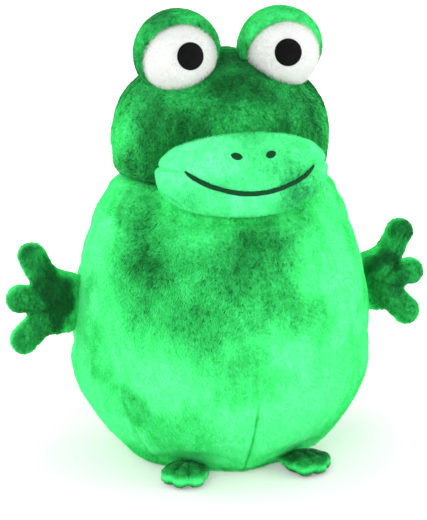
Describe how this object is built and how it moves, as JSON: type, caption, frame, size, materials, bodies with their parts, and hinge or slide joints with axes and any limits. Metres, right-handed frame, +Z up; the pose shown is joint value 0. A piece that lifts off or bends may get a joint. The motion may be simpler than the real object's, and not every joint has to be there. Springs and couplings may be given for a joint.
{
  "type": "plush toy",
  "caption": "Sitting plush frog toy: a pear-shaped stuffed body on a flat base, with a sewn-on head and muzzle, hooded ball eyes, arms and feet.",
  "frame": {"origin": "centre of the flat resting face", "axes": "+Z up, the frog faces -Y and its left side is +X"},
  "size_m": [0.2636, 0.153, 0.2743],
  "materials": {
    "green_plush": "short brushed pile",
    "pale_plush": "short brushed pile",
    "white_plush": "short brushed pile",
    "black_felt": "matt felt",
    "thread": "satin embroidery thread",
    "fibre_filling": "loose polyester fibre",
    "pouch_cloth": "plain woven cloth"
  },
  "bodies": {
    "torso": {"body_front_panel": "green_plush", "body_back_left_panel": "green_plush", "body_back_right_panel": "green_plush", "base_panel": "green_plush", "body_filling": "fibre_filling", "weight_pouch": "pouch_cloth", "face_panel": "green_plush", "head_back_left_panel": "green_plush", "head_back_right_panel": "green_plush", "head_filling": "fibre_filling", "muzzle_pad": "pale_plush", "mouth_stitching": "thread", "left_nostril": "thread", "right_nostril": "thread", "left_eye_hood": "green_plush", "left_eye_ball": "white_plush", "left_eye_filling": "fibre_filling", "left_pupil": "black_felt", "right_eye_hood": "green_plush", "right_eye_ball": "white_plush", "right_eye_filling": "fibre_filling", "right_pupil": "black_felt"},
    "left_arm": {"left_arm_front_panel": "green_plush", "left_arm_back_panel": "green_plush", "left_arm_filling": "fibre_filling"},
    "right_arm": {"right_arm_front_panel": "green_plush", "right_arm_back_panel": "green_plush", "right_arm_filling": "fibre_filling"},
    "left_foot": {"left_foot_top_panel": "green_plush", "left_foot_sole_panel": "green_plush", "left_foot_filling": "fibre_filling"},
    "right_foot": {"right_foot_top_panel": "green_plush", "right_foot_sole_panel": "green_plush", "right_foot_filling": "fibre_filling"}
  },
  "joints": [
    {"name": "left_arm_fold", "type": "hinge", "parent": "torso", "child": "left_arm", "pos_m": [0.09037, 0, 0.09824], "axis": [-0.1237, 0, 0.9923], "range_deg": [-50, 40], "stiffness_Nm_per_rad": 0.01},
    {"name": "right_arm_fold", "type": "hinge", "parent": "torso", "child": "right_arm", "pos_m": [-0.09037, 0, 0.09824], "axis": [0.1237, 0, 0.9923], "range_deg": [-40, 50], "stiffness_Nm_per_rad": 0.01},
    {"name": "left_foot_lift", "type": "hinge", "parent": "torso", "child": "left_foot", "pos_m": [0.03053, -0.04886, 0.0063], "axis": [-0.848, -0.5299, 0], "range_deg": [0, 25], "stiffness_Nm_per_rad": 0.01},
    {"name": "right_foot_lift", "type": "hinge", "parent": "torso", "child": "right_foot", "pos_m": [-0.03053, -0.04886, 0.0063], "axis": [-0.848, 0.5299, 0], "range_deg": [0, 25], "stiffness_Nm_per_rad": 0.01}
  ]
}
